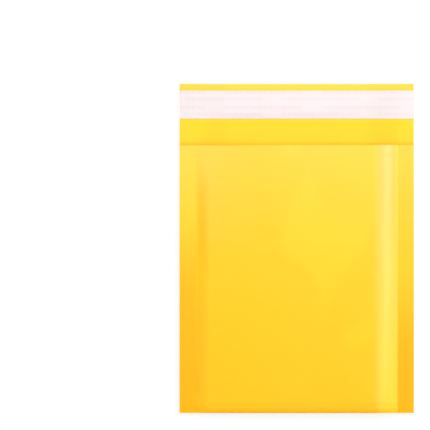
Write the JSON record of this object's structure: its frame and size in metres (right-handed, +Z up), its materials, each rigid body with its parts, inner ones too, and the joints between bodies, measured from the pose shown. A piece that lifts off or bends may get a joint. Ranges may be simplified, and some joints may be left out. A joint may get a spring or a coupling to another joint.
{
  "type": "padded envelope",
  "caption": "Padded mailing envelope of golden kraft paper lined with bubble film, with flat side seams, a folded bottom, and an open flap with a lined adhesive strip.",
  "frame": {"origin": "middle of the bounding box, on the surface that the envelope lies on", "axes": "+X across the two side seams, +Y from the bottom fold to the flap's free edge, +Z up out of the front panel"},
  "size_m": [0.152, 0.2134, 0.0078],
  "materials": {
    "kraft_paper": "satin golden kraft paper, calendered smooth",
    "bubble_film": "clear glossy polyethylene bubble film",
    "adhesive": "tacky clear hot-melt adhesive",
    "liner_paper": "satin white silicone-coated release paper"
  },
  "bodies": {
    "root": {"kraft_sheet": "kraft_paper", "bubble_lining": "bubble_film", "adhesive_band": "adhesive", "release_liner": "liner_paper"}
  },
  "joints": []
}
